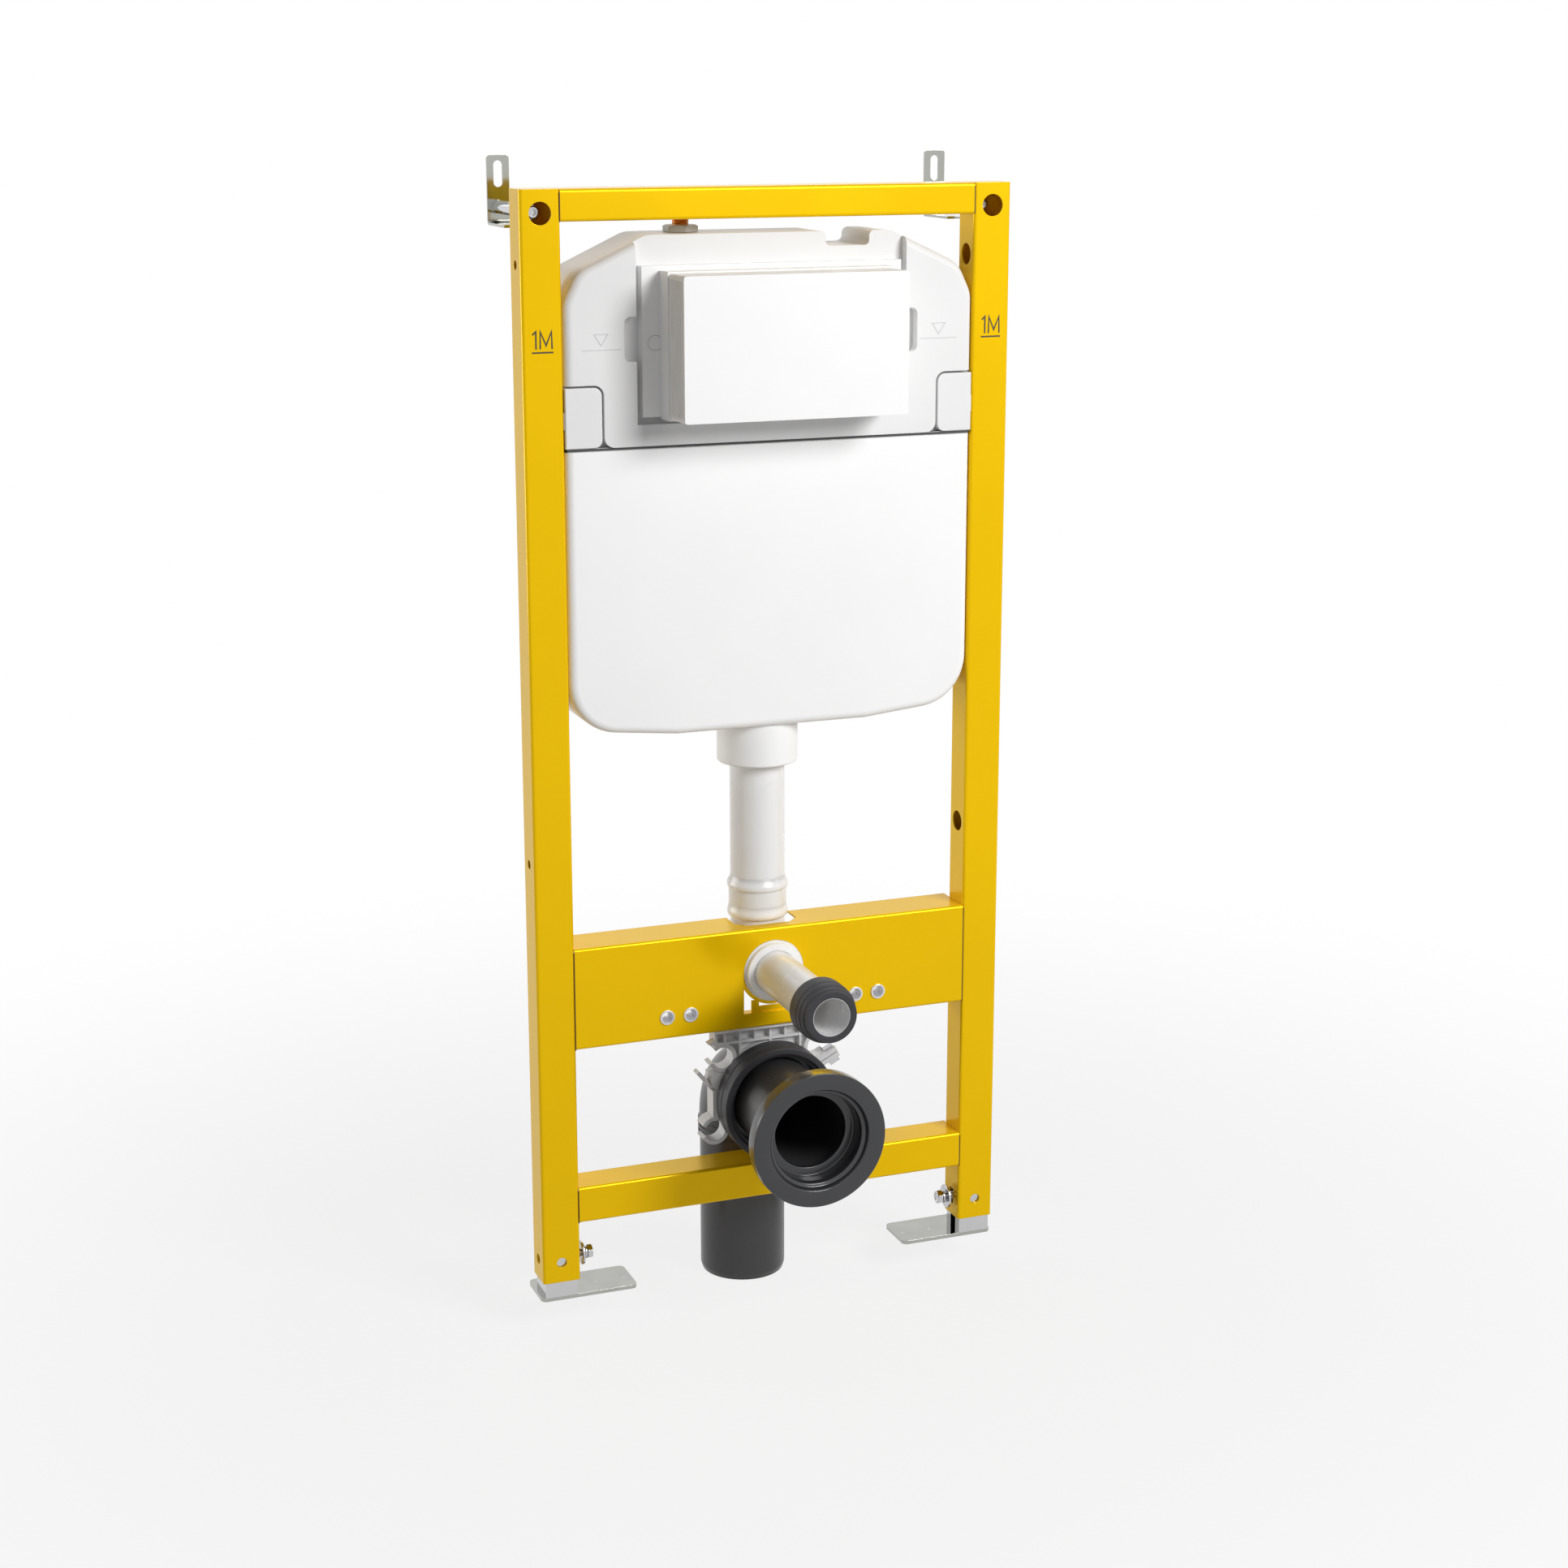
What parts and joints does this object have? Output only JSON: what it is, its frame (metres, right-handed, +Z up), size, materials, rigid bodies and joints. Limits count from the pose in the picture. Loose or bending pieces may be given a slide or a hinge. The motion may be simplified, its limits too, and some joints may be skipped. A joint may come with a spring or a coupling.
{
  "type": "toilet installation frame",
  "caption": "In-wall steel frame for a wall-hung toilet, with telescoping feet, slotted wall brackets, a slim concealed cistern, a flush elbow and a clamped waste bend.",
  "frame": {"origin": "on the back face of the left wall bracket, on the axis of its depth spindle", "axes": "+X to the right seen from the front, +Y back into the wall, +Z up"},
  "size_m": [0.502, 0.2997, 1.17],
  "materials": {
    "yellow_coat": "satin powder coat",
    "zinc": "zinc-plated",
    "white_plastic": "matt moulded",
    "pale_plastic": "matt moulded",
    "grey_plastic": "matt moulded",
    "dark_plastic": "satin extruded",
    "black_rubber": "satin",
    "brass": "turned"
  },
  "bodies": {
    "frame": {"upright_left": "yellow_coat", "upright_right": "yellow_coat", "upright_caps": "yellow_coat", "top_rail": "yellow_coat", "middle_rail": "yellow_coat", "bottom_rail": "yellow_coat", "stud_bushes_left": "zinc", "stud_bushes_right": "zinc", "clamp_bolt_left": "zinc", "clamp_bolt_right": "zinc", "clamp_washer_left": "zinc", "clamp_washer_right": "zinc", "clamp_nut_left": "zinc", "clamp_nut_right": "zinc", "wall_bracket_left": "zinc", "wall_bracket_right": "zinc", "depth_spindle_left": "zinc", "depth_spindle_right": "zinc", "spindle_nuts": "zinc", "cistern_tank": "white_plastic", "cistern_hood": "white_plastic", "cistern_clip_left": "white_plastic", "cistern_clip_right": "white_plastic", "access_plate": "pale_plastic", "access_box": "pale_plastic", "inlet_nipple": "brass", "inlet_nut": "white_plastic", "outlet_collar": "white_plastic", "flush_pipe": "pale_plastic", "flush_elbow": "pale_plastic", "flush_outlet": "pale_plastic", "flush_seal": "black_rubber", "waste_flange": "black_rubber", "waste_connector": "dark_plastic", "waste_ring": "black_rubber", "waste_bend": "dark_plastic", "waste_pipe": "dark_plastic", "pipe_hanger": "grey_plastic", "pipe_strap": "grey_plastic", "strap_screw": "zinc", "strap_lever": "grey_plastic", "elbow_cradle": "yellow_coat"},
    "leg_left": {"leg_left": "zinc", "foot_plate_left": "zinc"},
    "leg_right": {"leg_right": "zinc", "foot_plate_right": "zinc"}
  },
  "joints": [
    {"name": "leg_left_slide", "type": "slide", "parent": "frame", "child": "leg_left", "axis": [0, 0, -1], "range_m": [-0.012, 0.18]},
    {"name": "leg_right_slide", "type": "slide", "parent": "frame", "child": "leg_right", "axis": [0, 0, -1], "range_m": [-0.012, 0.18]}
  ]
}
